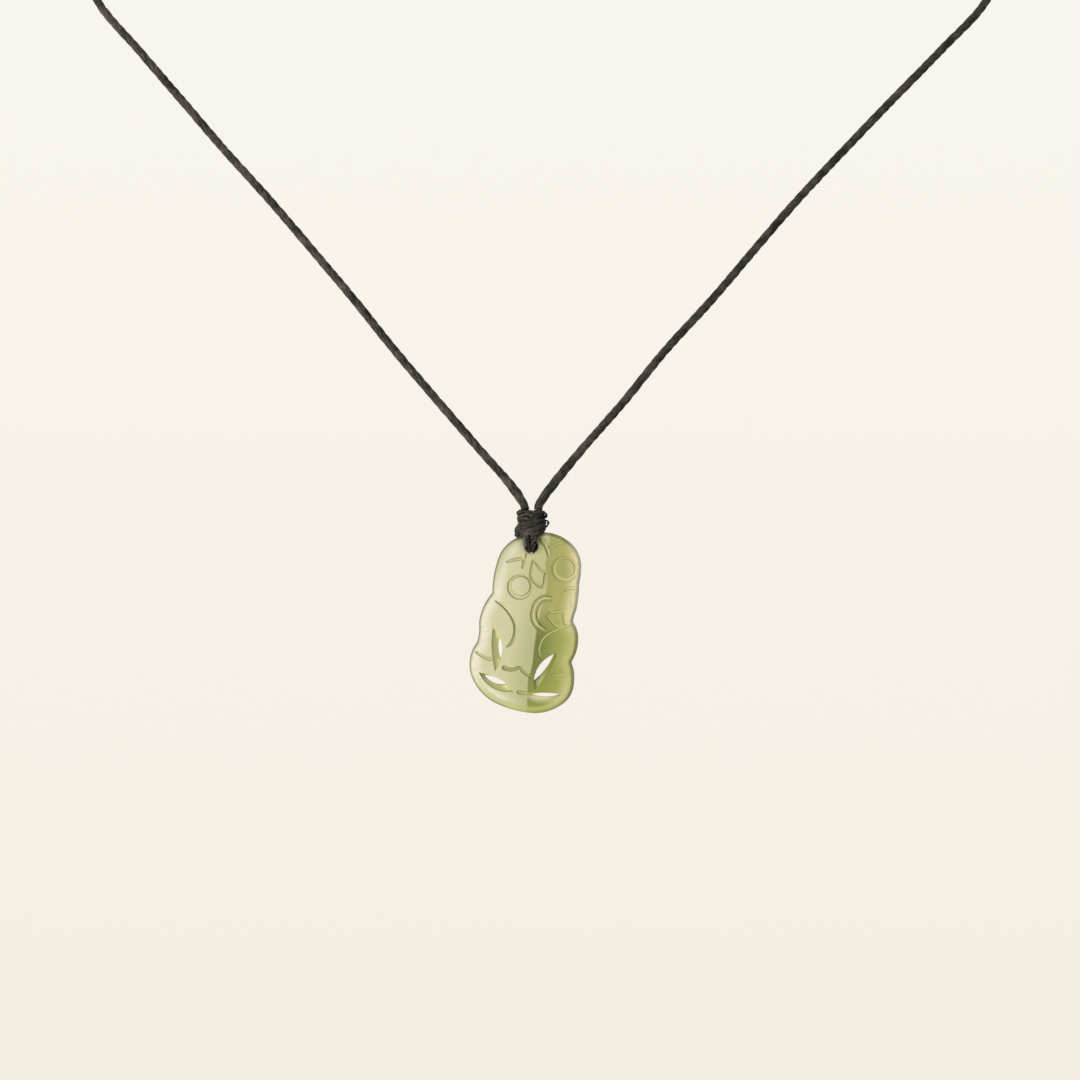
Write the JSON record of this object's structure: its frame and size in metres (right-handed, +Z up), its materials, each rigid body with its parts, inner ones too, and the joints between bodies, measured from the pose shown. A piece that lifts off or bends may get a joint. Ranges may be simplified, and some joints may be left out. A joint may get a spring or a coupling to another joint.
{
  "type": "hei tiki pendant on a neck cord",
  "caption": "Carved pale green jade hei tiki with its head tilted to one side, pierced and engraved, lashed to a dark waxed cord that loops round the neck.",
  "frame": {"origin": "middle of the nape, on the centreline of the cord where the loop rests", "axes": "+Z up, -Y the way the wearer and the carved face look, +X to the right as the carved face is looked at"},
  "size_m": [0.1888, 0.1367, 0.1891],
  "materials": {
    "jade": "polished, slightly translucent, cream green on one side and yellow green on the other",
    "waxed_cord": "twisted, waxed, almost black brown"
  },
  "bodies": {
    "cord": {"neck_cord": "waxed_cord", "closing_knot": "waxed_cord", "lashing": "waxed_cord", "hang_loop": "waxed_cord"},
    "stone": {"tiki": "jade"}
  },
  "joints": [
    {"name": "pendant_sway", "type": "hinge", "parent": "cord", "child": "stone", "pos_m": [-0.002, -0.13, -0.155], "axis": [0, 1, 0], "range_deg": [-5, 5]}
  ]
}
